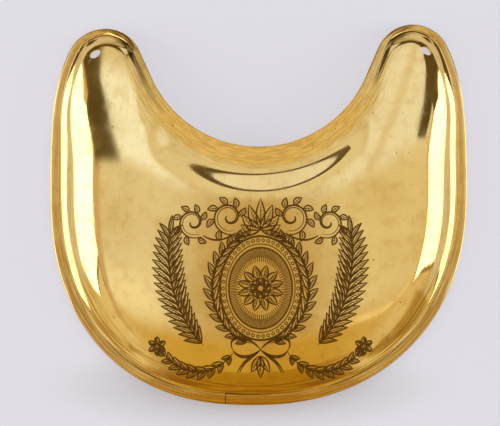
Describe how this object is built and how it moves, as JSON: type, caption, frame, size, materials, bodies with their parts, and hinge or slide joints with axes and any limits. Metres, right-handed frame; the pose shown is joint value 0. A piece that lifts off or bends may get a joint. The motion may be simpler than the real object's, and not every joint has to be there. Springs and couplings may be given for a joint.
{
  "type": "gorget",
  "caption": "Crescent-shaped gilt metal gorget with a domed face, flat rim, flared neck lip and cord holes in its horns, worn at the throat.",
  "frame": {"origin": "on the resting plane, under the middle of the plate's width and height", "axes": "+Z out of the domed face, +Y towards the horns, +X to the right of someone looking at the face"},
  "size_m": [0.14, 0.1276, 0.0185],
  "materials": {
    "gilt_metal": "polished gilding over sheet metal, with fine rubbing lines along the rim and neck"
  },
  "bodies": {
    "root": {"gorget_plate": "gilt_metal"}
  },
  "joints": []
}
